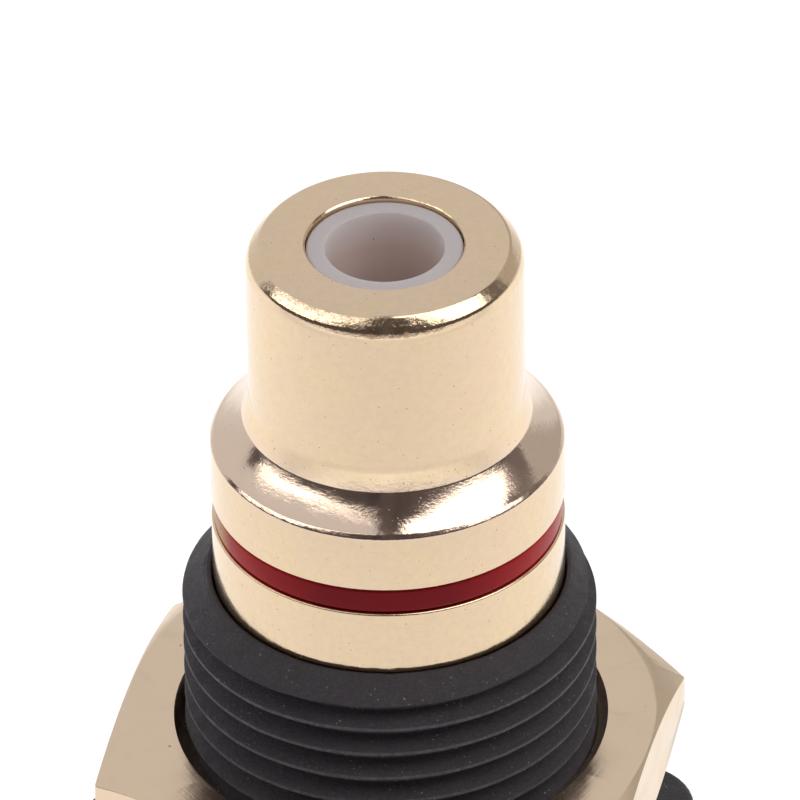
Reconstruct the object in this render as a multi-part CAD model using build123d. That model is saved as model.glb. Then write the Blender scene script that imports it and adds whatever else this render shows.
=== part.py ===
from build123d import *
from math import cos, pi, radians, tan
import os

# Gold-plated phono socket for a panel. All sizes are in millimetres.
# The origin is on the axis, in the front face of the bushing's flange, where the panel seats.
# +Z runs along the axis, out of the panel's front, towards the plug.

# Contact barrel, which the plug's shell slides over; it flares a little at its foot
barrel_d = 8.3
barrel_len = 6.025
barrel_edge_r = 0.6
foot_d = 8.71
flare_len = 0.67
mouth_d = 4.74
mouth_lip = 1.0
mouth_bevel = 0.08

# Shoulder behind the barrel, with a 45 degree bevel and the groove for the colour ring
shoulder_d = 10.66
shoulder_len = 6.15
shoulder_bevel = 0.2
groove_drop = 1.93
groove_width = 0.88
groove_depth = 0.35

# Stem, which runs back through the bushing and carries the rear nut
stem_d = 8.0
stem_past_nut = 1.8
stem_chamfer = 0.4
shell_bore_d = 6.0

# Colour ring, set a little below the shoulder's surface
ring_recess = 0.06
ring_bevel = 0.15

# Moulded bushing with a fine outside thread, 28 to the inch
bushing_len = 12.78
thread_d = 12.54
thread_pitch = 0.907
thread_depth = 0.55
thread_lead = 0.8
top_land = 0.15
register_len = 0.8
runout_width = 0.6
pocket_depth = 1.25
pocket_gap = 0.07

# Flange of the bushing, a hexagon with rounded corners
flange_af = 19.2
flange_t = 3.0
flange_corner = 32.5
flange_corner_r = 2.0
flange_bevel = 0.2

# Panel nut, standing some whole turns up the thread from the flange
panel_nut_af = 16.26
panel_nut_t = 2.7
panel_nut_flat_d = 16.1
panel_nut_bevel = 32.4
panel_nut_sink = 0.27
panel_nut_corner = 15.7
panel_nut_turns = 5
panel_nut_seat_gap = 0.03
panel_nut_gap = 0.06

# Centre contact: four spring fingers, a body, a collar and a tail with a solder cup
pin_bore_d = 3.2
pin_bore_len = 12.0
pin_entry = 0.25
contact_inset = 3.25
finger_d = 4.2
finger_len = 7.5
slot_len = 7.0
slot_width = 0.5
finger_count = 4
contact_body_d = 4.56
contact_body_len = 7.9
collar_d = 5.3
collar_t = 1.2
tail_d = 3.0
tail_past_bush = 6.2
cup_d = 2.0
cup_depth = 4.0
cup_open_len = 2.8
cup_open_offset = 0.3

# Insulators
face_recess = 0.14
entry_d = 3.568
insulator_bevel = 0.12
mouth_clearance = 0.2
bush_flange_d = 7.4
bush_flange_t = 0.8

# Solder tag for the cable's screen: a ring with a tongue bent down beside the rear nut
tag_t = 0.5
tag_ring_d = 12.0
tag_width = 3.4
tag_reach = 7.2
tag_bend_r = 0.6
tag_drop = 7.0
tag_hole_d = 1.8

# Lock washer with inner teeth
washer_t = 0.5
washer_d = 11.4
washer_rim = 0.8
washer_tooth_w = 1.1
washer_teeth = 10

# Rear nut
rear_nut_af = 11.0
rear_nut_t = 2.2
rear_nut_flat_d = 10.7
rear_nut_bevel = 30.0
rear_nut_sink = 0.3
rear_nut_corner = 30.0

# Clearances, each on the radius
seat_gap = 0.02
stem_gap = 0.05
washer_gap = 0.12

# Radii
barrel_r = barrel_d / 2
foot_r = foot_d / 2
mouth_r = mouth_d / 2
shoulder_r = shoulder_d / 2
stem_r = stem_d / 2
shell_bore_r = shell_bore_d / 2
thread_r = thread_d / 2
pocket_r = shoulder_r + pocket_gap
contact_body_r = contact_body_d / 2
collar_r = collar_d / 2
tail_r = tail_d / 2

# Heights above the panel seat
seat_z = bushing_len - pocket_depth
shoulder_z = seat_z + shoulder_len
foot_z = shoulder_z + shoulder_r - foot_r
top_z = foot_z + barrel_len
lip_z = top_z - mouth_lip
groove_z = shoulder_z - groove_drop
contact_z = top_z - contact_inset
collar_z = contact_z - finger_len - contact_body_len
panel_nut_z = panel_nut_turns * thread_pitch + panel_nut_seat_gap
tag_z = -flange_t
washer_z = tag_z - tag_t
rear_nut_z = washer_z - washer_t
stem_end_z = rear_nut_z - rear_nut_t - stem_past_nut
bush_end_z = stem_end_z - bush_flange_t
tail_end_z = bush_end_z - tail_past_bush


def turned(corners, rounds=(), bevels=()):
    """Solid turned about Z from (radius, height) corners; a round or bevel is (radius, height, size)."""
    profile = make_face(Polyline(*corners, close=True))
    for r, z, size in rounds:
        profile = fillet(profile.vertices().sort_by_distance((r, z))[0], size)
    for r, z, size in bevels:
        profile = chamfer(profile.vertices().sort_by_distance((r, z))[0], size)
    return revolve(Plane.XZ * profile, axis=Axis.Z)


def outer_shell():
    """Barrel, shoulder and stem, turned in one piece and bored right through."""
    corners = [
        (mouth_r, lip_z),
        (mouth_r, top_z),
        (barrel_r, top_z),
        (barrel_r, foot_z + flare_len),
        (foot_r, foot_z),
        (shoulder_r, shoulder_z),
        (shoulder_r, groove_z),
        (shoulder_r - groove_depth, groove_z),
        (shoulder_r - groove_depth, groove_z - groove_width),
        (shoulder_r, groove_z - groove_width),
        (shoulder_r, seat_z),
        (stem_r, seat_z),
        (stem_r, stem_end_z + stem_chamfer),
        (stem_r - stem_chamfer, stem_end_z),
        (shell_bore_r, stem_end_z),
        (shell_bore_r, lip_z),
    ]
    bevels = [(mouth_r, top_z, mouth_bevel), (shoulder_r, shoulder_z, shoulder_bevel)]
    return turned(corners, [(barrel_r, top_z, barrel_edge_r)], bevels)


def colour_ring():
    """Band that fills the shoulder's groove, with its outer edges drawn back."""
    inner = shoulder_r - groove_depth + seat_gap
    outer = shoulder_r - ring_recess
    low = groove_z - groove_width
    corners = [(inner, low), (outer, low), (outer, groove_z), (inner, groove_z)]
    bevels = [(outer, low, ring_bevel), (outer, groove_z, ring_bevel)]
    return turned(corners, bevels=bevels)


def front_insulator():
    """Sleeve behind the barrel's lip, with a nose that shows in the mouth and guides the pin."""
    face_z = top_z - face_recess
    step_z = contact_z + mouth_clearance
    body_r = shell_bore_r - seat_gap
    nose_r = mouth_r - seat_gap
    inner = contact_body_r + seat_gap
    corners = [
        (inner, collar_z),
        (body_r, collar_z),
        (body_r, lip_z),
        (nose_r, lip_z),
        (nose_r, face_z),
        (entry_d / 2, face_z),
        (entry_d / 2, step_z),
        (inner, step_z),
    ]
    bevels = [(nose_r, face_z, insulator_bevel), (entry_d / 2, face_z, insulator_bevel)]
    return turned(corners, bevels=bevels)


def rear_insulator():
    """Bush that closes the stem, holds the contact's collar and keeps its tail off the stem."""
    body_r = shell_bore_r - seat_gap
    cup_r = collar_r + seat_gap
    inner = tail_r + seat_gap
    floor_z = collar_z - collar_t
    corners = [
        (inner, bush_end_z),
        (bush_flange_d / 2, bush_end_z),
        (bush_flange_d / 2, stem_end_z),
        (body_r, stem_end_z),
        (body_r, collar_z),
        (cup_r, collar_z),
        (cup_r, floor_z),
        (inner, floor_z),
    ]
    return turned(corners, bevels=[(bush_flange_d / 2, bush_end_z, insulator_bevel)])


def contact_blank():
    """Contact as it leaves the lathe: bored for the pin in front and for the wire behind."""
    pin_r = pin_bore_d / 2
    cup_floor_z = tail_end_z + cup_depth
    body_z = contact_z - finger_len
    corners = [
        (0, contact_z - pin_bore_len),
        (pin_r, contact_z - pin_bore_len),
        (pin_r, contact_z - pin_entry),
        (pin_r + pin_entry, contact_z),
        (finger_d / 2, contact_z),
        (finger_d / 2, body_z),
        (contact_body_r, body_z),
        (contact_body_r, collar_z),
        (collar_r, collar_z),
        (collar_r, collar_z - collar_t),
        (tail_r, collar_z - collar_t),
        (tail_r, tail_end_z),
        (cup_d / 2, tail_end_z),
        (cup_d / 2, cup_floor_z),
        (0, cup_floor_z),
    ]
    return turned(corners)


def centre_contact():
    """Contact with its fingers slit and one side of its solder cup cut open."""
    contact = contact_blank()
    slit = Box(finger_d, slot_width, slot_len, align=(Align.MIN, Align.CENTER, Align.MAX))
    for place in PolarLocations(0, finger_count):
        contact -= Pos(0, 0, contact_z) * place * slit
    scoop = Box(tail_d, tail_d, cup_open_len, align=(Align.MIN, Align.CENTER, Align.MIN))
    return contact - Pos(cup_open_offset, 0, tail_end_z) * scoop


def flange_plate():
    """Flange of the bushing, with rounded corners and bevelled edges."""
    hexagon = RegularPolygon(flange_af / 2, 6, major_radius=False, rotation=flange_corner)
    outline = fillet(hexagon.vertices(), flange_corner_r)
    plate = extrude(Pos(0, 0, -flange_t) * outline, flange_t)
    back, *_, front = plate.faces().sort_by(Axis.Z)
    return chamfer(back.edges() + front.edges(), flange_bevel)


def threaded_bushing():
    """Bushing and flange moulded in one piece: lead cone, thread body, run-out and panel register."""
    bore_r = stem_r + stem_gap
    root_r = thread_r - thread_depth
    corners = [
        (bore_r, 0),
        (thread_r, 0),
        (thread_r, register_len),
        (root_r, register_len),
        (root_r, register_len + runout_width),
        (thread_r, register_len + runout_width),
        (thread_r, bushing_len - thread_lead),
        (pocket_r + top_land, bushing_len),
        (pocket_r, bushing_len),
        (pocket_r, seat_z),
        (bore_r, seat_z),
    ]
    bore = Cylinder(bore_r, flange_t, align=(Align.CENTER, Align.CENTER, Align.MAX))
    return turned(corners) + (flange_plate() - bore)


def hex_nut(base_z, across_flats, height, bore_r, sink, flat_d, bevel, corner):
    """Hexagon nut turned off at each face by a cone of the bevel's angle, with countersunk ends."""
    reach = across_flats / 2 / cos(pi / 6)
    drop = (reach - flat_d / 2) * tan(radians(bevel))
    hexagon = RegularPolygon(across_flats / 2, 6, major_radius=False, rotation=corner)
    nut = extrude(Pos(0, 0, base_z) * hexagon, height)
    for face_z, inwards in ((base_z, 1), (base_z + height, -1)):
        far_z = face_z + inwards * height
        nut &= turned(
            [
                (bore_r + sink, face_z),
                (flat_d / 2, face_z),
                (reach, face_z + inwards * drop),
                (reach, far_z),
                (bore_r, far_z),
                (bore_r, face_z + inwards * sink),
            ]
        )
    return nut


def panel_nut():
    """Nut that draws the panel against the flange; its bore clears the thread's crests."""
    return hex_nut(
        panel_nut_z,
        panel_nut_af,
        panel_nut_t,
        thread_r + panel_nut_gap,
        panel_nut_sink,
        panel_nut_flat_d,
        panel_nut_bevel,
        panel_nut_corner,
    )


def rear_nut():
    """Thin nut on the stem that clamps the shell, the bushing and the tag together."""
    return hex_nut(
        rear_nut_z - rear_nut_t,
        rear_nut_af,
        rear_nut_t,
        stem_r + stem_gap,
        rear_nut_sink,
        rear_nut_flat_d,
        rear_nut_bevel,
        rear_nut_corner,
    )


def lock_washer():
    """Flat ring with teeth that point at the stem."""
    ring_r = washer_d / 2
    tooth_tip_r = stem_r + washer_gap
    tooth_len = ring_r - washer_rim / 2 - tooth_tip_r
    tooth = Rectangle(tooth_len, washer_tooth_w, align=(Align.MIN, Align.CENTER))
    outline = Circle(ring_r) - Circle(ring_r - washer_rim)
    for place in PolarLocations(tooth_tip_r, washer_teeth):
        outline += place * tooth
    return extrude(Pos(0, 0, washer_z - washer_t) * outline, washer_t)


def ground_tag():
    """Ring on the stem with a tongue that bends down and ends round its wire hole."""
    bend_z = washer_z - tag_bend_r
    ring = Circle(tag_ring_d / 2)
    arm = Rectangle(tag_reach, tag_width, align=(Align.MIN, Align.CENTER))
    flat = extrude(Pos(0, 0, washer_z) * (ring + arm - Circle(stem_r + washer_gap)), tag_t)

    bend_axis = Axis((tag_reach, 0, bend_z), (0, 1, 0))
    section = Plane.YZ.offset(tag_reach) * Pos(0, tag_z - tag_t / 2) * Rectangle(tag_width, tag_t)
    bend = revolve(section, axis=bend_axis, revolution_arc=90)

    blade = Rectangle(tag_width, tag_drop, align=(Align.CENTER, Align.MAX))
    blade += Pos(0, -tag_drop) * Circle(tag_width / 2)
    blade -= Pos(0, -tag_drop) * Circle(tag_hole_d / 2)
    blade_plane = Plane((tag_reach + tag_bend_r, 0, bend_z), x_dir=(0, 1, 0), z_dir=(1, 0, 0))
    return flat + bend + extrude(blade_plane * blade, tag_t)


nodes = {
    "outer_shell": outer_shell(),
    "colour_ring": colour_ring(),
    "front_insulator": front_insulator(),
    "centre_contact": centre_contact(),
    "rear_insulator": rear_insulator(),
    "threaded_bushing": threaded_bushing(),
    "panel_nut": panel_nut(),
    "ground_tag": ground_tag(),
    "lock_washer": lock_washer(),
    "rear_nut": rear_nut(),
}

os.makedirs("parts", exist_ok=True)
for name, solid in nodes.items():
    export_step(solid, f"parts/{name}.step")
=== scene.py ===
import math

import bmesh
import bpy
from mathutils import Matrix, Vector, noise


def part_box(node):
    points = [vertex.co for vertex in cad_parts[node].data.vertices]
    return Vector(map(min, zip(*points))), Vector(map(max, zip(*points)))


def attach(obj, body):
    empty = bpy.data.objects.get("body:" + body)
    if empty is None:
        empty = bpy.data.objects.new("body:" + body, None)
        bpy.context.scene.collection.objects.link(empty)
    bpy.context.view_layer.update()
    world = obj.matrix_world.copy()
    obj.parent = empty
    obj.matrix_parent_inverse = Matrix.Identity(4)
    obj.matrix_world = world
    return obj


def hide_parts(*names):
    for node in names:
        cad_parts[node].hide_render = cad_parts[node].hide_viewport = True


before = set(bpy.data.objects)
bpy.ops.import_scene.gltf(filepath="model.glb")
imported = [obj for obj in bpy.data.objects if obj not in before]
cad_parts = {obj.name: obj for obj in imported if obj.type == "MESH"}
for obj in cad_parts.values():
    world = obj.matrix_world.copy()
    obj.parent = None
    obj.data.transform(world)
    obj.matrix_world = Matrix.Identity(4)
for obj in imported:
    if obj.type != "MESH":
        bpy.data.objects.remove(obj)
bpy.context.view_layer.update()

# Looks of the gold-plated phono socket. Shapes are worked out in millimetres and made in metres.
MM = 0.001
FULL_TURN = 2 * math.pi
STEPS = 144


def low(node_name):
    """Lowest height of a CAD node, in mm."""
    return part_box(node_name)[0].z / MM


def high(node_name):
    """Greatest height of a CAD node, in mm."""
    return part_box(node_name)[1].z / MM


def reach(node_name):
    """Greatest distance of a round CAD node from the axis, in mm."""
    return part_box(node_name)[1].y / MM


# Heights and radii that the frame gives
top_z = high("outer_shell")
stem_end_z = low("outer_shell")
shoulder_r = reach("outer_shell")
ring_low_z = low("colour_ring")
ring_high_z = high("colour_ring")
ring_r = reach("colour_ring")
bushing_z = high("threaded_bushing")
flange_back_z = low("threaded_bushing")
nut_low_z = low("panel_nut")
nut_high_z = high("panel_nut")
rear_nut_low_z = low("rear_nut")
rear_nut_high_z = high("rear_nut")

# Barrel and shoulder
barrel_r = 4.15
barrel_edge_in = 0.42
barrel_edge_down = 0.62
barrel_facet_in = 0.085
barrel_facet_down = 0.379
foot_r = 4.355
flare_len = 0.67
flare_r = 0.8
foot_round = 0.17
mouth_r = 2.37
mouth_lip = 1.0
rim_in = 0.055
rim_down = 0.06
rim_round = 0.03
barrel_top_round = 0.20
barrel_facet_round = 0.32
barrel_side_round = 0.45
cone_round = 4.4
cone_edge_round = 0.2
shoulder_drop = 7.0
edge_facet_in = 0.11
edge_facet_slope = 1.19
shoulder_edge_r = 0.13
cone_hollow = 0.054
groove_edge_r = 0.07
groove_depth = 0.35
ring_inner_gap = 0.02
ring_edge_r = 0.16
shell_bore_r = 3.0
stem_r = 4.0
stem_gap = 0.05
stem_chamfer = 0.4
stem_pitch = 0.75
stem_thread_depth = 0.4
stem_thread_start = 1.2
stem_thread_past = 0.6
stem_thread_lands = (0.06, 0.1)
stem_thread_round = 0.05

# Front insulator's sleeve and nose
sleeve_r = 2.98
sleeve_bore_r = 2.3
nose_r = 2.35
nose_bore_r = 1.784
nose_round = 0.1
nose_bore_round = 0.04
contact_gap = 0.2

# Bushing and its thread; in front, a crest stands at thread_front_crest_z
thread_r = 6.27
thread_root_r = 5.72
thread_pitch = 0.907
thread_front_crest_z = 11.27
thread_lead = 0.8
thread_lands = (0.02, 0.14)
thread_round = 0.05
thread_fade = 45
thread_start_turn = 90
thread_foot_gap = 0.5
crest_angle = 30
crest_mark = 0.012
register_len = 0.8
runout_width = 0.6
pocket_r = 5.375
pocket_depth = 1.25
top_land = 0.14
lead_round = 0.12
land_round = 0.05
pocket_round = 0.08
lead_rows = 18
least_lead = 0.6
core_inset = 1.0
flange_overlap = 0.4
flange_af = 19.19
flange_corner = 32.5
flange_corner_r = 2.0
flange_edge_r = 0.25

# Panel nut and rear nut
nut_af = 16.26
nut_corner = 15.7
nut_corner_r = 0.14
nut_flat_r = 8.05
nut_bevel = 32.4
nut_bore_r = 5.80
nut_thread_r = 6.33
nut_mouth_r = 6.62
nut_thread_lands = (0.16, 0.06)
nut_thread_round = 0.03
nut_thread_past = 1.2
nut_edge_r = 0.03
rear_nut_af = 11.0
rear_nut_corner = 30.0
rear_nut_flat_r = 5.35
rear_nut_bevel = 30.0
rear_nut_countersink = 0.3

# Section of every thread groove, outside its wall and where its flank meets the crest
groove_back = 0.3
groove_lip = 0.012
groove_sink = 0.008
groove_chamfer = 0.05
groove_clear = 0.02

# Steps round a hexagon, how strongly its points crowd to the corners, and its bevel's soft start
HEXAGON_STEPS = 216
CORNER_CROWDING = 2.4
SOFT_START_OUT = 0.3
SOFT_START_DROP = 0.17

# Distances that count as the same place, and as the same point where the laps of a groove meet
CLOSE = 0.01
WELD = 0.0002

# Angle in degrees past which an edge is sharp
SHARP = 35

# Nicks along the bushing's edges
nick = 0.02
rim_nick = 0.05
rim_nick_reach = 0.06
nick_wall = 0.2

# Colours as the bare surface gives them in white light; a few also carry painted light or shade, as noted
# where they stand
GOLD = (0.86, 0.665, 0.465)
YELLOWER_GOLD = (0.87, 0.68, 0.445)
PALER_GOLD = (0.86, 0.68, 0.55)
NUT_GOLD = (0.84, 0.66, 0.475)
STAINED_GOLD = (0.62, 0.50, 0.38)
PIT_BROWN = (0.24, 0.15, 0.09)
NUT_PIT_BROWN = (0.22, 0.14, 0.09)
CONTACT_GOLD = (0.86, 0.69, 0.40)
DULLER_CONTACT = (0.80, 0.62, 0.36)
NICKEL = (0.66, 0.65, 0.63)
DULLER_NICKEL = (0.55, 0.54, 0.53)
RED = (0.20, 0.006, 0.010)
# Red painted brighter at the band's left and right sides: painted light
RED_PAINTED_SIDE_LIGHT = (0.41, 0.010, 0.012)
AMBER = (0.50, 0.20, 0.05)
COPPER = (0.62, 0.24, 0.13)
MILK = (0.57, 0.52, 0.52)
# Milk painted pale at the bore's mouth and browner down inside the bore: painted light and painted shade
MILK_PAINTED_LIT_MOUTH = (0.92, 0.88, 0.88)
MILK_PAINTED_BORE_SHADE = (0.78, 0.64, 0.60)
SPECK_BROWN = (0.22, 0.18, 0.16)
BLACK = (0.033, 0.0275, 0.033)
# Pale grey for the grain flecks and for the thread crests, whose paler line is partly wear and partly a
# painted highlight
GREY_FOR_GRAIN_AND_CREST_HIGHLIGHT = (0.10, 0.095, 0.105)
DUST = (0.42, 0.40, 0.38)
ROOM = (0.69, 0.68, 0.70)
CARD_LIGHT = (1, 0.985, 0.96)
PANEL_WHITE = (0.8, 0.8, 0.8)
FIELD_DARK = (0.13, 0.11, 0.115)
SHADE_DARK = (0.25, 0.225, 0.22)
WALL_BEIGE = (0.2, 0.18, 0.17)

# Where wear and colour change, in mm: drops are measured from the top face, x across the photograph
grain_fade_below = 0.15
grain_full_drop = 6.1
grain_end_drop = 5.7
worn_top_drop = 0.25
worn_top_reach = 0.45
worn_edge_reach = 0.16
copper_spots = ((-0.42, -4.10, 0.50), (0.62, -4.07, 0.46))
# From this distance to the side the red band is painted brighter: painted light
side_light_from_x = 2.4
side_light_full_x = 4.9
bare_full_x = -5.02
bare_from_x = -4.72


def shaded(color, share):
    """The same colour, this share as bright."""
    return tuple(part * share for part in color)


# Shapes

def profile_wire(corners, rounds):
    """Closed wire through (radius, height) corners, some of them rounded; rounds is {index: radius}."""
    bm = bmesh.new()
    points = [Vector((r, 0, z)) for r, z in corners]
    verts = [bm.verts.new(p) for p in points]
    for index, vert in enumerate(verts):
        bm.edges.new((verts[index - 1], vert))
    for index, radius in rounds.items():
        before = points[index] - points[index - 1]
        after = points[(index + 1) % len(points)] - points[index]
        setback = radius * math.tan(before.angle(after) / 2)
        bmesh.ops.bevel(bm, geom=[verts[index]], offset=setback, offset_type="OFFSET", segments=7,
                        profile=0.5, affect="VERTICES", material=-1)
    return bm


def turn(bm, steps=STEPS):
    """Spins a closed wire once round the axis and turns its faces outwards."""
    bmesh.ops.spin(bm, geom=bm.verts[:] + bm.edges[:], axis=(0, 0, 1), cent=(0, 0, 0), dvec=(0, 0, 0),
                   angle=FULL_TURN, steps=steps, use_merge=True)
    bmesh.ops.recalc_face_normals(bm, faces=bm.faces[:])
    return bm


def turned(corners, rounds=None, steps=STEPS):
    """Solid turned about the axis from rounded corners."""
    return turn(profile_wire(corners, rounds or {}), steps)


def groove_wire(mouth_r, floor_r, pitch, lands, round_r):
    """Section of a thread groove; lands are the widths of the crest that is left and of its floor."""
    crest_land, floor_land = lands
    outwards = 1 if mouth_r > floor_r else -1
    half_mouth = (pitch - crest_land) / 2
    half_floor = floor_land / 2
    half_crest = half_mouth - groove_chamfer
    back_r = mouth_r + groove_back * outwards
    lip_r = mouth_r + groove_lip * outwards
    crest_r = mouth_r - groove_sink * outwards
    floor_round = round_r * 0.8
    corners = [
        (back_r, half_mouth), (lip_r, half_mouth), (crest_r, half_crest), (floor_r, half_floor),
        (floor_r, -half_floor), (crest_r, -half_crest), (lip_r, -half_mouth), (back_r, -half_mouth),
    ]
    bm = profile_wire(corners, {2: round_r, 3: floor_round, 4: floor_round, 5: round_r})
    least_flank = 0.25
    farthest = 0.6
    flanks = [edge for edge in bm.edges
              if edge.calc_length() > least_flank and abs(mouth_r - edge.verts[0].co.x) < farthest]
    bmesh.ops.subdivide_edges(bm, edges=flanks, cuts=4)
    return bm


def fade_ends(bm, start_z, start_turn, pitch, laps, fade, rise):
    """Lifts a winding groove out of its wall at both ends, by rise and over this turn in degrees."""
    for vert in bm.verts:
        azimuth = math.degrees(math.atan2(vert.co.y, vert.co.x))
        part_turn = (start_turn - azimuth) % 360
        wound = (start_z - vert.co.z) / pitch * 360
        wound = part_turn + 360 * round((wound - part_turn) / 360)
        from_end = min(wound, laps * 360 - wound)
        if from_end < fade:
            outward = 1 + rise * (1 - from_end / fade) / math.hypot(vert.co.x, vert.co.y)
            vert.co.x *= outward
            vert.co.y *= outward


def helix_cutter(mouth_r, floor_r, start_z, end_z, pitch, lands, round_r, start_turn=-90, fade=0):
    """Thread groove that winds down right-handed; start_z is its middle height where it starts.

    fade is the turn in degrees over which it deepens where it starts and ends.
    """
    bm = groove_wire(mouth_r, floor_r, pitch, lands, round_r)
    facing = Matrix.Rotation(math.radians(start_turn), 3, "Z")
    bmesh.ops.rotate(bm, verts=bm.verts[:], cent=(0, 0, 0), matrix=facing)
    bmesh.ops.translate(bm, verts=bm.verts[:], vec=(0, 0, start_z))
    bmesh.ops.spin(bm, geom=bm.verts[:] + bm.edges[:], axis=(0, 0, -1), cent=(0, 0, 0),
                   dvec=(0, 0, -pitch / STEPS), angle=FULL_TURN, steps=STEPS)
    one_turn = bm.verts[:] + bm.edges[:] + bm.faces[:]
    laps = math.ceil((start_z - end_z) / pitch)
    for lap in range(1, laps):
        copied = bmesh.ops.duplicate(bm, geom=one_turn)["geom"]
        lap_verts = [item for item in copied if isinstance(item, bmesh.types.BMVert)]
        bmesh.ops.translate(bm, verts=lap_verts, vec=(0, 0, -pitch * lap))
    bmesh.ops.remove_doubles(bm, verts=bm.verts[:], dist=WELD)
    bmesh.ops.holes_fill(bm, edges=[edge for edge in bm.edges if edge.is_boundary], sides=0)
    bmesh.ops.recalc_face_normals(bm, faces=bm.faces[:])
    if fade:
        rise = mouth_r + math.copysign(groove_clear, mouth_r - floor_r) - floor_r
        fade_ends(bm, start_z, start_turn, pitch, laps, fade, rise)
    return bm


def mesh_object(name, bm):
    """New object in the scene with this shape."""
    mesh = bpy.data.meshes.new(name)
    bm.to_mesh(mesh)
    bm.free()
    made = bpy.data.objects.new(name, mesh)
    bpy.context.scene.collection.objects.link(made)
    return made


def combine(base_bm, tool_bm, operation="DIFFERENCE"):
    """Cuts the tool out of a solid, or joins it on, and gives the result as a new bmesh."""
    base = mesh_object("blank", base_bm)
    tool = mesh_object("cutter", tool_bm)
    cut = base.modifiers.new("cut", "BOOLEAN")
    cut.operation = operation
    cut.solver = "MANIFOLD"
    cut.object = tool
    bpy.context.view_layer.update()
    done = base.evaluated_get(bpy.context.evaluated_depsgraph_get())
    result = bmesh.new()
    result.from_mesh(done.to_mesh())
    for piece in (tool, base):
        mesh = piece.data
        bpy.data.objects.remove(piece)
        bpy.data.meshes.remove(mesh)
    return result


def hexagon_reach(azimuth, across_flats, corner_azimuth, corner_r):
    """Distance from the axis to a rounded hexagon's side, in a direction given in degrees."""
    apothem = across_flats / 2
    from_corner = (azimuth - corner_azimuth + 30) % 60 - 30
    centre = (apothem - corner_r) / math.cos(math.radians(30))
    tangent = math.degrees(math.atan2(corner_r / 2, centre + corner_r * math.cos(math.radians(30))))
    off = math.radians(abs(from_corner))
    if abs(from_corner) < tangent:
        return centre * math.cos(off) + math.sqrt(corner_r ** 2 - (centre * math.sin(off)) ** 2)
    return apothem / math.cos(math.radians(30) - off)


def crowd_to_corners(azimuth, corner_azimuth, power):
    """Moves an azimuth towards the nearest corner, so that small roundings get enough points."""
    from_corner = (azimuth - corner_azimuth + 30) % 60 - 30
    moved = 30 * math.copysign(abs(from_corner / 30) ** power, from_corner)
    return azimuth - from_corner + moved


def hexagon_nut(base_z, top_z, across_flats, corner_azimuth, flat_r, bevel, bore_r, mouth_r):
    """Nut turned from a profile whose outer wall then follows the hexagon, bevelled at both faces."""
    sink = mouth_r - bore_r
    wall_r = across_flats
    soft_r = wall_r - 1
    mid_z = (base_z + top_z) / 2
    low_soft, low_wall = base_z + 0.3, base_z + 0.5
    high_soft, high_wall = top_z - 0.3, top_z - 0.5
    corners = [
        (bore_r, base_z + sink), (mouth_r, base_z), (flat_r, base_z), (soft_r, low_soft),
        (wall_r, low_wall), (wall_r, mid_z), (wall_r, high_wall), (soft_r, high_soft),
        (flat_r, top_z), (mouth_r, top_z), (bore_r, top_z - sink),
    ]
    bm = turned(corners, steps=HEXAGON_STEPS)
    slope = math.tan(math.radians(bevel))
    for vert in bm.verts:
        radius = math.hypot(vert.co.x, vert.co.y)
        azimuth = math.degrees(math.atan2(vert.co.y, vert.co.x))
        azimuth = crowd_to_corners(azimuth, corner_azimuth, CORNER_CROWDING)
        if radius > flat_r + CLOSE:
            softened = abs(radius - soft_r) < CLOSE
            radius = hexagon_reach(azimuth, across_flats, corner_azimuth, nut_corner_r)
            drop = (radius - flat_r) * slope
            if softened:
                radius = flat_r + (radius - flat_r) * SOFT_START_OUT
                drop *= SOFT_START_DROP
            if vert.co.z > mid_z + CLOSE:
                vert.co.z = top_z - drop
            elif vert.co.z < mid_z - CLOSE:
                vert.co.z = base_z + drop
        turn_to = math.radians(azimuth)
        vert.co.x = radius * math.cos(turn_to)
        vert.co.y = radius * math.sin(turn_to)
    edge_rings = [edge for edge in bm.edges if is_outer_ring(edge, flat_r, mid_z)]
    bmesh.ops.bevel(bm, geom=edge_rings, offset=nut_edge_r, offset_type="OFFSET", segments=3,
                    profile=0.5, affect="EDGES", material=-1)
    return bm


def is_outer_ring(edge, flat_r, mid_z):
    """True for the edges round the nut where its bevel and side meet."""
    past_flat = 0.04
    greatest_rise = 0.3
    greatest_span = 0.6
    radii = [math.hypot(vert.co.x, vert.co.y) for vert in edge.verts]
    heights = [vert.co.z for vert in edge.verts]
    if min(radii) < flat_r + past_flat or any(abs(height - mid_z) < CLOSE for height in heights):
        return False
    if max(heights) - min(heights) >= greatest_rise or max(radii) - min(radii) >= greatest_span:
        return False
    return edge.calc_face_angle(0) > math.radians(SHARP)


def mark_edges(bm, least_angle, crest_r):
    """Marks the points on a sharp outer edge or beyond crest_r, and nicks those edges a little."""
    layer = bm.verts.layers.float.new("edge")
    elsewhere = Vector((9, 0, 0))
    for edge in bm.edges:
        if edge.is_manifold and edge.calc_face_angle_signed(0) > math.radians(least_angle):
            for vert in edge.verts:
                vert[layer] = 1
    for vert in bm.verts:
        radius = math.hypot(vert.co.x, vert.co.y)
        if radius > crest_r:
            vert[layer] = 1
        if vert[layer] and radius > pocket_r + nick_wall:
            fine = noise.noise(vert.co * 1.7)
            broad = noise.noise(vert.co * 0.6 + elsewhere)
            vert.co.z += fine * nick + broad * nick
        elif vert.co.z > bushing_z - rim_nick_reach:
            vert.co.z -= rim_nick * abs(noise.noise(vert.co * 2.3))


def add_piece(name, bm, material, node_name, body):
    """Makes the finished piece in metres, in place of its CAD node."""
    bmesh.ops.scale(bm, vec=(MM, MM, MM), verts=bm.verts[:])
    piece = mesh_object(name, bm)
    mesh = piece.data
    mesh.polygons.foreach_set("use_smooth", [True] * len(mesh.polygons))
    mesh.set_sharp_from_angle(angle=math.radians(SHARP))
    mesh.materials.append(material)
    even = piece.modifiers.new("even shading", "WEIGHTED_NORMAL")
    even.keep_sharp = True
    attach(piece, body)
    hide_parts(node_name)


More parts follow.
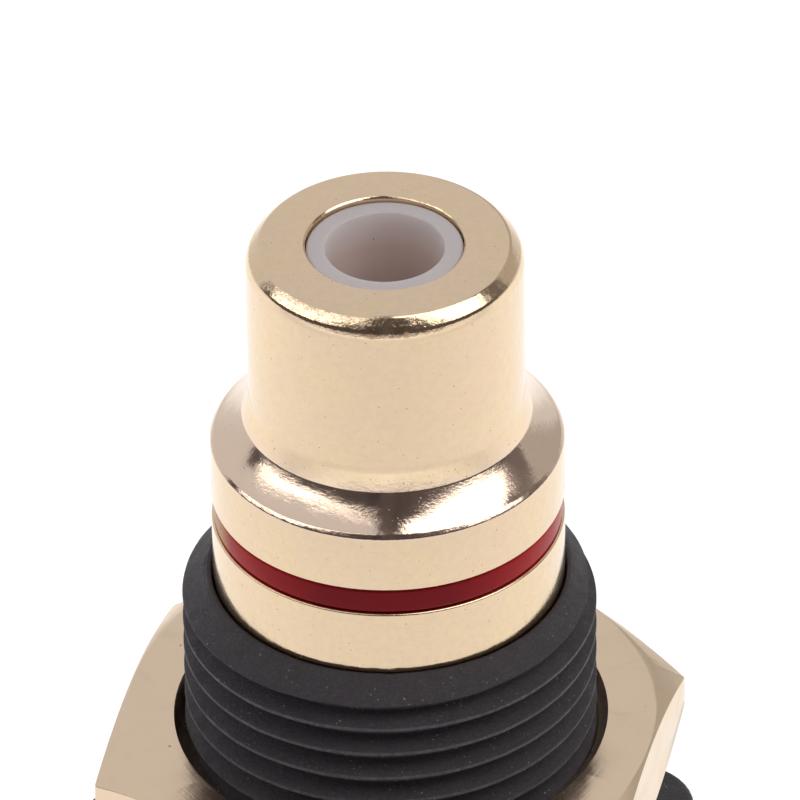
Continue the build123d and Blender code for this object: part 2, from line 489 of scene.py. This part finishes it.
def shell_shape():
    """Barrel, shoulder and threaded stem, with the groove for the colour ring."""
    shoulder_z = top_z - shoulder_drop
    foot_z = shoulder_z + shoulder_r - foot_r
    cone_mid_r = (shoulder_r + foot_r) / 2 - cone_hollow
    cone_mid_z = (shoulder_z + foot_z) / 2 - cone_hollow
    seat_z = bushing_z - pocket_depth
    lip_z = top_z - mouth_lip
    groove_r = shoulder_r - groove_depth
    facet_r = shoulder_r - edge_facet_in
    cone_share = (facet_r - cone_mid_r) / (shoulder_r - cone_mid_r)
    facet_z = cone_mid_z + (shoulder_z - cone_mid_z) * cone_share
    edge_z = facet_z - edge_facet_in * edge_facet_slope
    corners = [
        (mouth_r, lip_z), (mouth_r, top_z - rim_down), (mouth_r + rim_in, top_z),
        (barrel_r - barrel_edge_in, top_z), (barrel_r - barrel_facet_in, top_z - barrel_facet_down),
        (barrel_r, top_z - barrel_edge_down), (barrel_r, foot_z + flare_len), (foot_r, foot_z),
        (cone_mid_r, cone_mid_z), (facet_r, facet_z), (shoulder_r, edge_z), (shoulder_r, ring_high_z),
        (groove_r, ring_high_z), (groove_r, ring_low_z), (shoulder_r, ring_low_z), (shoulder_r, seat_z),
        (stem_r, seat_z), (stem_r, stem_end_z + stem_chamfer), (stem_r - stem_chamfer, stem_end_z),
        (shell_bore_r, stem_end_z), (shell_bore_r, lip_z),
    ]
    rounds = {
        1: rim_round, 2: rim_round, 3: barrel_top_round, 4: barrel_facet_round, 5: barrel_side_round,
        6: flare_r, 7: foot_round, 8: cone_round, 9: cone_edge_round, 10: shoulder_edge_r,
        11: groove_edge_r, 14: groove_edge_r,
    }
    blank = turned(corners, rounds)
    groove = helix_cutter(stem_r, stem_r - stem_thread_depth, flange_back_z - stem_thread_start,
                          stem_end_z - stem_thread_past, stem_pitch, stem_thread_lands, stem_thread_round)
    return combine(blank, groove)


def ring_shape():
    """Colour ring with drawn-back, rounded edges."""
    inner = shoulder_r - groove_depth + ring_inner_gap
    corners = [(inner, ring_low_z), (ring_r, ring_low_z), (ring_r, ring_high_z), (inner, ring_high_z)]
    return turned(corners, {1: ring_edge_r, 2: ring_edge_r})


def bushing_shape():
    """Moulded bushing with its fine thread cut in, and the rounded hexagon of the flange."""
    seat_z = bushing_z - pocket_depth
    bore_r = stem_r + stem_gap
    core_r = thread_r - core_inset
    core_low_z = flange_back_z + flange_overlap
    runout_z = register_len + runout_width
    corners = [
        (bore_r, core_low_z), (core_r, core_low_z), (core_r, -flange_overlap), (thread_r, -flange_overlap),
        (thread_r, register_len), (thread_root_r, register_len), (thread_root_r, runout_z),
        (thread_r, runout_z), (thread_r, bushing_z - thread_lead), (pocket_r + top_land, bushing_z),
        (pocket_r, bushing_z), (pocket_r, seat_z), (bore_r, seat_z),
    ]
    wire = profile_wire(corners, {8: lead_round, 9: land_round, 10: pocket_round})
    long_edges = [edge for edge in wire.edges if edge.calc_length() > least_lead]
    lead_edge = max(long_edges, key=lambda edge: min(vert.co.z for vert in edge.verts))
    bmesh.ops.subdivide_edges(wire, edges=[lead_edge], cuts=lead_rows)
    groove = helix_cutter(thread_r, thread_root_r, thread_front_crest_z + thread_pitch,
                          register_len + thread_foot_gap, thread_pitch, thread_lands, thread_round,
                          thread_start_turn, thread_fade)
    threaded = combine(turn(wire), groove)
    mark_edges(threaded, crest_angle, thread_r - crest_mark)
    return combine(threaded, flange_shape(bore_r), "UNION")


def flange_shape(bore_r):
    """Flange, a hexagon with rounded corners and softened edges."""
    corners = [(bore_r, flange_back_z), (flange_af, flange_back_z), (flange_af, 0), (bore_r, 0)]
    bm = turned(corners, {1: flange_edge_r, 2: flange_edge_r}, HEXAGON_STEPS)
    for vert in bm.verts:
        radius = math.hypot(vert.co.x, vert.co.y)
        if radius > bore_r + CLOSE:
            azimuth = math.degrees(math.atan2(vert.co.y, vert.co.x))
            wall = hexagon_reach(azimuth, flange_af, flange_corner, flange_corner_r)
            scale = (wall - (flange_af - radius)) / radius
            vert.co.x *= scale
            vert.co.y *= scale
    return bm


def panel_nut_shape():
    """Panel nut with its inner thread in step with the bushing's."""
    blank = hexagon_nut(nut_low_z, nut_high_z, nut_af, nut_corner, nut_flat_r, nut_bevel, nut_bore_r,
                        nut_mouth_r)
    turns_up = math.ceil((nut_high_z - thread_front_crest_z) / thread_pitch)
    crest_z = thread_front_crest_z + thread_pitch * turns_up
    groove = helix_cutter(nut_bore_r, nut_thread_r, crest_z + thread_pitch, nut_low_z - nut_thread_past,
                          thread_pitch, nut_thread_lands, nut_thread_round)
    return combine(blank, groove)


def rear_nut_shape():
    """Thin nut on the stem."""
    bore_r = stem_r + stem_gap
    return hexagon_nut(rear_nut_low_z, rear_nut_high_z, rear_nut_af, rear_nut_corner, rear_nut_flat_r,
                       rear_nut_bevel, bore_r, bore_r + rear_nut_countersink)


def front_insulator_shape():
    """Sleeve whose nose shows in the mouth, with a softly rounded lip."""
    face_z = high("front_insulator")
    base_z = low("front_insulator")
    step_z = high("centre_contact") + contact_gap
    lip_z = top_z - mouth_lip
    corners = [
        (sleeve_bore_r, base_z), (sleeve_r, base_z), (sleeve_r, lip_z), (nose_r, lip_z), (nose_r, face_z),
        (nose_bore_r, face_z), (nose_bore_r, step_z), (sleeve_bore_r, step_z),
    ]
    return turned(corners, {4: nose_round, 5: nose_bore_round})


# Materials

class Finish:
    """Node tree of one material, with short calls for the nodes that the finishes share."""

    def __init__(self, name, base_color, metallic, roughness):
        self.material = bpy.data.materials.new(name)
        self.material.use_nodes = True
        self.tree = self.material.node_tree
        self.shader = self.tree.nodes["Principled BSDF"]
        self.shader.inputs["Base Color"].default_value = (*base_color, 1)
        self.shader.inputs["Metallic"].default_value = metallic
        self.shader.inputs["Roughness"].default_value = roughness
        coordinates = self.tree.nodes.new("ShaderNodeTexCoord")
        to_mm = self.tree.nodes.new("ShaderNodeMapping")
        to_mm.inputs["Scale"].default_value = (1 / MM, 1 / MM, 1 / MM)
        self.link(coordinates.outputs["Object"], to_mm.inputs["Vector"])
        self.place = to_mm.outputs["Vector"]
        self.relief = None

    def link(self, source, target):
        self.tree.links.new(source, target)

    def add(self, kind, **settings):
        node = self.tree.nodes.new(kind)
        for key, value in settings.items():
            setattr(node, key, value)
        return node

    def clouds(self, scale, detail=3.0, rough=0.5, distortion=0.0, place=None):
        """Noise with this many features a millimetre."""
        node = self.add("ShaderNodeTexNoise")
        node.inputs["Scale"].default_value = scale
        node.inputs["Detail"].default_value = detail
        node.inputs["Roughness"].default_value = rough
        node.inputs["Distortion"].default_value = distortion
        self.link(place or self.place, node.inputs["Vector"])
        return node.outputs["Fac"]

    def specks(self, scale, size):
        """1 in small round specks on a random grid, 0 elsewhere."""
        cells = self.add("ShaderNodeTexVoronoi")
        cells.inputs["Scale"].default_value = scale
        self.link(self.place, cells.inputs["Vector"])
        return self.ramp(cells.outputs["Distance"], size * 0.6, 1.0, size, 0.0)

    def ramp(self, value, start, low_value, end, high_value):
        """Turns start..end into low_value..high_value, level outside."""
        node = self.add("ShaderNodeMapRange", clamp=True)
        node.inputs["From Min"].default_value = start
        node.inputs["From Max"].default_value = end
        node.inputs["To Min"].default_value = low_value
        node.inputs["To Max"].default_value = high_value
        self.link(value, node.inputs["Value"])
        return node.outputs["Result"]

    def math(self, operation, first, second):
        node = self.add("ShaderNodeMath", operation=operation)
        for value, socket in zip((first, second), node.inputs):
            if isinstance(value, (int, float)):
                socket.default_value = value
            else:
                self.link(value, socket)
        return node.outputs["Value"]

    def mix(self, factor, first, second):
        """Colour mix; each colour is a socket or an (r, g, b)."""
        node = self.add("ShaderNodeMix", data_type="RGBA")
        self.link(factor, node.inputs["Factor"])
        for value, socket in ((first, node.inputs[6]), (second, node.inputs[7])):
            if isinstance(value, tuple):
                socket.default_value = (*value, 1)
            else:
                self.link(value, socket)
        return node.outputs[2]

    def near(self, point, size, ragged=0.0):
        """1 in a spot of this size round a point of the piece, 0 elsewhere."""
        node = self.add("ShaderNodeVectorMath", operation="DISTANCE")
        self.link(self.place, node.inputs[0])
        node.inputs[1].default_value = point
        off = self.math("ADD", node.outputs["Value"], self.math("MULTIPLY", self.clouds(3.0, 3.0), ragged))
        return self.ramp(off, (size + ragged) * 0.6, 1.0, size + ragged, 0.0)

    def band(self, value, middle, half_width):
        """1 at the middle value, fading to 0 at half a width on each side."""
        off = self.math("ABSOLUTE", self.math("SUBTRACT", value, middle), 0.0)
        return self.ramp(off, 0.0, 1.0, half_width, 0.0)

    def parts(self):
        """Place on the piece as X, Y and Z, in mm."""
        split = self.add("ShaderNodeSeparateXYZ")
        self.link(self.place, split.inputs["Vector"])
        return split.outputs

    def radius(self):
        """Distance from the axis, in mm."""
        parts = self.parts()
        flat = self.add("ShaderNodeCombineXYZ")
        self.link(parts["X"], flat.inputs["X"])
        self.link(parts["Y"], flat.inputs["Y"])
        length = self.add("ShaderNodeVectorMath", operation="LENGTH")
        self.link(flat.outputs["Vector"], length.inputs[0])
        return length.outputs["Value"]

    def round_the_axis(self, across, along):
        """Place for patterns round the axis, with this many features a millimetre 5 mm away from it."""
        parts = self.parts()
        turn_angle = self.math("ARCTAN2", parts["Y"], parts["X"])
        place = self.add("ShaderNodeCombineXYZ")
        self.link(self.math("MULTIPLY", turn_angle, 5.0 * along), place.inputs["X"])
        self.link(self.math("MULTIPLY", parts["Z"], across), place.inputs["Y"])
        return place.outputs["Vector"]

    def bump(self, height, depth_mm):
        """Adds relief of this depth on top of what is there already."""
        node = self.add("ShaderNodeBump")
        node.inputs["Strength"].default_value = 1.0
        node.inputs["Distance"].default_value = depth_mm * MM
        self.link(height, node.inputs["Height"])
        if self.relief:
            self.link(self.relief, node.inputs["Normal"])
        self.relief = node.outputs["Normal"]
        self.link(self.relief, self.shader.inputs["Normal"])

    def color(self, socket):
        self.link(socket, self.shader.inputs["Base Color"])

    def roughness(self, socket):
        self.link(socket, self.shader.inputs["Roughness"])


def shell_gold():
    """Bright plating with a slight orange peel, pits, a grainy cone, worn edges and two copper spots."""
    gold = Finish("shell_gold", GOLD, 1.0, 0.14)
    height = gold.parts()["Z"]
    gold.bump(gold.clouds(0.9, 2.0), 0.006)
    gold.bump(gold.clouds(7.0, 3.0, 0.6), 0.0026)
    pits = gold.math("MULTIPLY", gold.specks(0.8, 0.03), 0.6)
    pitted = gold.ramp(gold.clouds(1.7, 2.0), 0.36, 0.0, 0.60, 1.0)
    fine_pits = gold.math("MULTIPLY", gold.specks(3.0, 0.08), pitted)
    dusted = gold.ramp(gold.clouds(1.1, 2.0), 0.36, 0.0, 0.66, 0.6)
    dust_pits = gold.math("MULTIPLY", gold.specks(4.6, 0.11), dusted)
    pits = gold.math("MAXIMUM", pits, gold.math("MAXIMUM", fine_pits, dust_pits))
    gold.bump(gold.math("SUBTRACT", 1.0, pits), 0.004)

    cone_low_z = top_z - shoulder_drop
    low_edge = gold.ramp(height, cone_low_z - grain_fade_below, 0.0, cone_low_z, 1.0)
    high_edge = gold.ramp(height, top_z - grain_full_drop, 1.0, top_z - grain_end_drop, 0.0)
    on_cone = gold.math("MULTIPLY", low_edge, high_edge)
    patches = gold.ramp(gold.clouds(0.9, 2.0), 0.40, 0.10, 0.62, 1.0)
    grain = gold.math("MULTIPLY", gold.clouds(12.0, 4.0, 0.6, 0.4), on_cone)
    gold.bump(gold.math("MULTIPLY", grain, patches), 0.004)
    turning = gold.clouds(1.0, 3.0, 0.6, 0.0, gold.round_the_axis(16.0, 3.0))
    gold.bump(gold.math("MULTIPLY", turning, on_cone), 0.0022)
    worn_edges = gold.band(height, top_z - worn_top_drop, worn_top_reach)
    for edge_z in (cone_low_z, ring_high_z, ring_low_z, bushing_z):
        worn_edges = gold.math("MAXIMUM", worn_edges, gold.band(height, edge_z, worn_edge_reach))
    gold.bump(gold.math("MULTIPLY", gold.clouds(5.0, 4.0, 0.6, 0.6), worn_edges), 0.009)

    gold.roughness(gold.ramp(gold.clouds(0.9, 4.0, 0.6), 0.35, 0.09, 0.75, 0.17))
    yellower = gold.ramp(gold.clouds(0.6, 3.0), 0.4, 0.0, 0.65, 1.0)
    mottles = gold.ramp(gold.clouds(4.0, 4.0, 0.7), 0.38, 0.0, 0.7, 0.45)
    shade = gold.mix(mottles, gold.mix(yellower, GOLD, YELLOWER_GOLD), shaded(GOLD, 0.88))
    shade = gold.mix(gold.math("MULTIPLY", on_cone, 0.8), shade, PALER_GOLD)
    spots = [gold.near((x, y, top_z - drop), 0.05, 0.14) for x, y, drop in copper_spots]
    copper = gold.math("MULTIPLY", gold.math("MAXIMUM", *spots), 0.6)
    gold.link(gold.math("SUBTRACT", 1.0, copper), gold.shader.inputs["Metallic"])
    shade = gold.mix(copper, shade, COPPER)
    gold.color(gold.mix(gold.math("MULTIPLY", pits, 0.75), shade, PIT_BROWN))
    return gold.material


def nut_gold():
    """Plating over a turned face: faint rings, stains and small nicks."""
    gold = Finish("nut_gold", NUT_GOLD, 1.0, 0.2)
    rings = gold.add("ShaderNodeTexNoise", noise_dimensions="1D")
    rings.inputs["Scale"].default_value = 9.0
    rings.inputs["Detail"].default_value = 3.0
    gold.link(gold.radius(), rings.inputs["W"])
    gold.bump(rings.outputs["Fac"], 0.0025)
    gold.bump(gold.clouds(1.1, 3.0), 0.012)
    pits = gold.specks(0.9, 0.05)
    gold.bump(gold.math("SUBTRACT", 1.0, pits), 0.006)
    stain = gold.ramp(gold.clouds(0.8, 5.0, 0.6, 0.4), 0.55, 0.0, 0.75, 0.25)
    gold.roughness(gold.ramp(gold.clouds(0.7, 4.0), 0.35, 0.16, 0.7, 0.30))
    stained = gold.mix(stain, NUT_GOLD, STAINED_GOLD)
    gold.color(gold.mix(gold.math("MULTIPLY", pits, 0.7), stained, NUT_PIT_BROWN))
    return gold.material


def contact_gold():
    """Softer, yellower plating of the contact and the solder tag."""
    gold = Finish("contact_gold", CONTACT_GOLD, 1.0, 0.26)
    gold.bump(gold.clouds(3.0, 3.0), 0.006)
    gold.roughness(gold.ramp(gold.clouds(1.2, 4.0), 0.3, 0.2, 0.7, 0.36))
    gold.color(gold.mix(gold.clouds(0.6, 3.0), CONTACT_GOLD, DULLER_CONTACT))
    return gold.material


def nickel_steel():
    """Nickel-plated spring steel of the lock washer."""
    steel = Finish("washer_nickel", NICKEL, 1.0, 0.3)
    steel.bump(steel.clouds(4.0, 3.0), 0.006)
    steel.roughness(steel.ramp(steel.clouds(1.5, 4.0), 0.3, 0.24, 0.7, 0.42))
    steel.color(steel.mix(steel.clouds(0.8, 3.0), NICKEL, DULLER_NICKEL))
    return steel.material


def red_enamel():
    """Glossy deep red, uneven like a hand-filled groove, with painted light brightening its left and right
    sides.
    """
    red = Finish("red_enamel", RED, 0.0, 0.25)
    red.shader.inputs["Specular IOR Level"].default_value = 0.1
    red.bump(red.clouds(1.2, 2.0), 0.02)
    sideways = red.parts()["X"]
    off_middle = red.math("ADD", red.math("ABSOLUTE", sideways, 0.0), red.clouds(0.7, 3.0))
    # Painted light: the red is painted brighter towards the band's left and right sides
    painted_side_light = red.ramp(off_middle, side_light_from_x, 0.0, side_light_full_x, 1.0)
    bare = red.ramp(sideways, bare_full_x, 1.0, bare_from_x, 0.0)
    red.color(red.mix(bare, red.mix(painted_side_light, RED, RED_PAINTED_SIDE_LIGHT), AMBER))
    return red.material


def milky_insulator():
    """Milky plastic that lets a little light in; its bore is painted pale at the mouth and browner deeper
    down, as painted light and painted shade.
    """
    face_z = high("front_insulator")
    milk = Finish("milky_insulator", MILK, 0.0, 0.34)
    milk.shader.inputs["Subsurface Weight"].default_value = 0.45
    milk.shader.inputs["Subsurface Scale"].default_value = 0.6 * MM
    milk.shader.inputs["Subsurface Radius"].default_value = (1.0, 0.8, 0.7)
    milk.bump(milk.clouds(2.0, 3.0), 0.006)
    speck = milk.near((-0.33, 1.75, face_z - 0.95), 0.035)
    # Painted light and shade in the bore: its wall is painted pale at the mouth and browner deeper down
    depth = milk.ramp(milk.parts()["Z"], face_z - 1.3, 1.0, face_z - 0.1, 0.0)
    inside = milk.ramp(milk.radius(), nose_bore_r + 0.002, 1.0, nose_bore_r + 0.016, 0.0)
    shade = milk.mix(inside, MILK, milk.mix(depth, MILK_PAINTED_LIT_MOUTH, MILK_PAINTED_BORE_SHADE))
    milk.color(milk.mix(milk.math("MULTIPLY", speck, 0.7), shade, SPECK_BROWN))
    return milk.material


def moulded_black():
    """Matt black moulding with a fine grain, paler thread crests that are partly wear and partly a painted
    highlight, and scattered dust.
    """
    black = Finish("moulded_black", BLACK, 0.0, 0.55)
    black.shader.inputs["Specular IOR Level"].default_value = 0.42
    black.bump(black.clouds(9.0, 5.0, 0.7), 0.05)
    black.bump(black.clouds(1.4, 3.0), 0.02)
    # Crest edges painted paler: partly wear, partly a painted highlight along the crests
    marked = black.add("ShaderNodeAttribute", attribute_name="edge")
    crest = black.ramp(marked.outputs["Fac"], 0.7, 0.0, 1.0, 1.0)
    worn = black.ramp(black.clouds(4.5, 5.0, 0.8), 0.38, 0.1, 0.66, 1.0)
    crest = black.math("MULTIPLY", crest, worn)
    shade = black.mix(black.clouds(0.8, 3.0), BLACK, shaded(BLACK, 1.3))
    grainy = black.ramp(black.clouds(12.0, 3.0, 0.7), 0.45, 0.0, 0.70, 0.35)
    shade = black.mix(grainy, shade, GREY_FOR_GRAIN_AND_CREST_HIGHLIGHT)
    crests_worn_and_highlit = black.mix(crest, shade, GREY_FOR_GRAIN_AND_CREST_HIGHLIGHT)
    lint = black.math("MAXIMUM", black.specks(2.8, 0.10), black.specks(5.5, 0.14))
    dust = black.math("MULTIPLY", lint, black.ramp(black.clouds(1.2, 2.0), 0.45, 0.0, 0.65, 0.7))
    black.color(black.mix(dust, crests_worn_and_highlit, DUST))
    black.roughness(black.ramp(black.clouds(2.0, 4.0), 0.3, 0.48, 0.7, 0.66))
    return black.material


# Pieces

shell_plating = shell_gold()
nut_plating = nut_gold()
contact_plating = contact_gold()
washer_steel = nickel_steel()
insulator = milky_insulator()
bushing_plastic = moulded_black()

add_piece("socket_shell", shell_shape(), shell_plating, "outer_shell", "socket_body")
add_piece("red_band", ring_shape(), red_enamel(), "colour_ring", "socket_body")
add_piece("nose_insulator", front_insulator_shape(), insulator, "front_insulator",
          "socket_body")
add_piece("black_bushing", bushing_shape(), bushing_plastic, "threaded_bushing",
          "socket_body")
add_piece("hexagon_nut", panel_nut_shape(), nut_plating, "panel_nut", "nut")
add_piece("stem_nut", rear_nut_shape(), nut_plating, "rear_nut", "socket_body")

for node_name, material in {
    "centre_contact": contact_plating,
    "rear_insulator": insulator,
    "ground_tag": contact_plating,
    "lock_washer": washer_steel,
}.items():
    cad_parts[node_name].data.materials.clear()
    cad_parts[node_name].data.materials.append(material)


# Floor, light and camera

FLOOR_DROP = 0.3
FLOOR_HALF = 3.0
FLOOR_SHADE = (0.25, 0.25, 0.25)
FLOOR_GLOW_FRONT = 0.69
FLOOR_GLOW_BACK = 0.93
FLOOR_GLOW_AHEAD = 0.30
FLOOR_DIM_BEHIND = 0.38
PANEL_GLOW = 2.0
WALL_GLOW = 0.34
CARD_DISTANCE = 0.5
FIELD_DISTANCE = 0.49
CARD_AIM = Vector((0, 0, 0.018))


def plain_floor():
    """Pale floor just below the solder cup, bright enough to stay white; its glow is painted light, dimmer
    just in front of the part, brighter behind it and far in front, and dimmer far behind.
    """
    floor_z = low("centre_contact") - FLOOR_DROP
    bm = bmesh.new()
    bmesh.ops.create_grid(bm, x_segments=1, y_segments=1, size=FLOOR_HALF)
    bmesh.ops.translate(bm, verts=bm.verts[:], vec=(0, 0, floor_z * MM))
    floor = mesh_object("floor", bm)
    paper = Finish("floor_paper", FLOOR_SHADE, 0.0, 0.9)
    paper.shader.inputs["Emission Color"].default_value = (1, 1, 1, 1)
    paper.shader.inputs["Specular IOR Level"].default_value = 0.0
    depth = paper.parts()["Y"]
    # Painted light: the floor's glow changes from front to back instead of coming from lamps
    near = paper.ramp(depth, -60.0, FLOOR_GLOW_FRONT, 40.0, FLOOR_GLOW_BACK)
    ahead = paper.ramp(depth, -400.0, FLOOR_GLOW_AHEAD, -80.0, 0.0)
    behind = paper.ramp(depth, 90.0, 0.0, 220.0, -FLOOR_DIM_BEHIND)
    glow = paper.math("ADD", near, paper.math("ADD", ahead, behind))
    paper.link(glow, paper.shader.inputs["Emission Strength"])
    paper.color(paper.mix(paper.clouds(0.2, 3.0), FLOOR_SHADE, shaded(FLOOR_SHADE, 0.97)))
    floor.data.materials.append(paper.material)


def direction(azimuth, elevation):
    """Unit vector; azimuth 0 is towards the camera's side and grows to the right."""
    a, e = math.radians(azimuth), math.radians(elevation)
    return Vector((math.sin(a) * math.cos(e), -math.cos(a) * math.cos(e), math.sin(e)))


def studio_card(name, rows, shade, glow, distance=CARD_DISTANCE):
    """Curved card that only reflections show; rows are (azimuth, low elevation, high elevation)."""
    bm = bmesh.new()
    lines = [[bm.verts.new(CARD_AIM + direction(azimuth, e) * distance) for e in (low_e, high_e)]
             for azimuth, low_e, high_e in rows]
    edges = [bm.edges.new(line) for line in lines]
    for first, second in zip(edges, edges[1:]):
        bmesh.ops.bridge_loops(bm, edges=[first, second])
    card = mesh_object(name, bm)
    paper = Finish(name + "_paper", shade, 0.0, 0.9)
    paper.shader.inputs["Specular IOR Level"].default_value = 0.0
    paper.shader.inputs["Emission Color"].default_value = (*CARD_LIGHT, 1)
    paper.shader.inputs["Emission Strength"].default_value = glow
    paper.color(paper.mix(paper.clouds(0.02, 2.0), shade, shaded(shade, 0.9)))
    card.data.materials.append(paper.material)
    card.visible_camera = False


def studio_light():
    """Soft panels left and right, a pale room behind, and the dark field round the camera."""
    world = bpy.data.worlds.new("room")
    bpy.context.scene.world = world
    world.use_nodes = True
    background = world.node_tree.nodes["Background"]
    background.inputs["Color"].default_value = (*ROOM, 1)
    background.inputs["Strength"].default_value = 1.0
    left_rows = [(-102, 18, 24.5), (-88, 25, 32.5), (-72, 31, 38), (-58, 36.5, 42.5), (-43, 43, 47),
                 (-25, 49.5, 52), (-9, 54.5, 55.5)]
    right_rows = [(13, 58, 82), (30, 51, 82), (45, 42, 80), (60, 33, 78), (80, 27, 70), (91, 25, 64)]
    dark_rows = [(-113, 3, 20), (-103.5, 3, 22), (-102, 3, 17.5), (-88, 3, 24.5), (-72, 3, 30.5),
                 (-58, 3, 36), (-43, 3, 42.5), (-25, 3, 49), (-9, 3, 54), (-5, 3, 102), (6, 3, 102),
                 (13, 3, 57), (30, 3, 50), (45, 3, 41), (60, 3, 32), (80, 3, 26), (98, 3, 20)]
    shade_rows = [(92, 26, 52), (101, 3, 50), (112, 3, 44)]
    wall_rows = [(113, 2, 42), (126, 2, 38), (176, 2, 16)]
    studio_card("left_panel", left_rows, PANEL_WHITE, PANEL_GLOW)
    studio_card("right_panel", right_rows, PANEL_WHITE, PANEL_GLOW)
    studio_card("dark_field", dark_rows, FIELD_DARK, 0.0, FIELD_DISTANCE)
    studio_card("right_shade", shade_rows, SHADE_DARK, 0.0)
    studio_card("right_wall", wall_rows, WALL_BEIGE, WALL_GLOW)


def photo_camera():
    """Camera fitted to the photograph's circles; its numbers are measured from the barrel's top face."""
    elevation = math.radians(35.933)
    roll = math.radians(-0.74)
    focal_px = 12057.23
    image_px = 800
    sensor = 36.0
    distance = 357.403
    side_shift = 0.395
    up_shift = -4.668
    ahead = Vector((0, math.cos(elevation), -math.sin(elevation)))
    upward = Vector((0, math.sin(elevation), math.cos(elevation)))
    side = Vector((1, 0, 0))
    place = Vector((0, 0, top_z)) - ahead * distance + upward * up_shift + side * side_shift
    right = side * math.cos(roll) + upward * math.sin(roll)
    up = upward * math.cos(roll) - side * math.sin(roll)
    data = bpy.data.cameras.new("camera")
    data.sensor_width = sensor
    data.lens = focal_px / image_px * sensor
    data.clip_start = 0.01
    data.clip_end = 20.0
    camera = bpy.data.objects.new("camera", data)
    bpy.context.scene.collection.objects.link(camera)
    turn_to = Matrix((right, up, -ahead)).transposed().to_4x4()
    camera.matrix_world = Matrix.Translation(place * MM) @ turn_to
    bpy.context.scene.camera = camera


plain_floor()
studio_light()
photo_camera()
bpy.context.scene.view_settings.view_transform = "Standard"
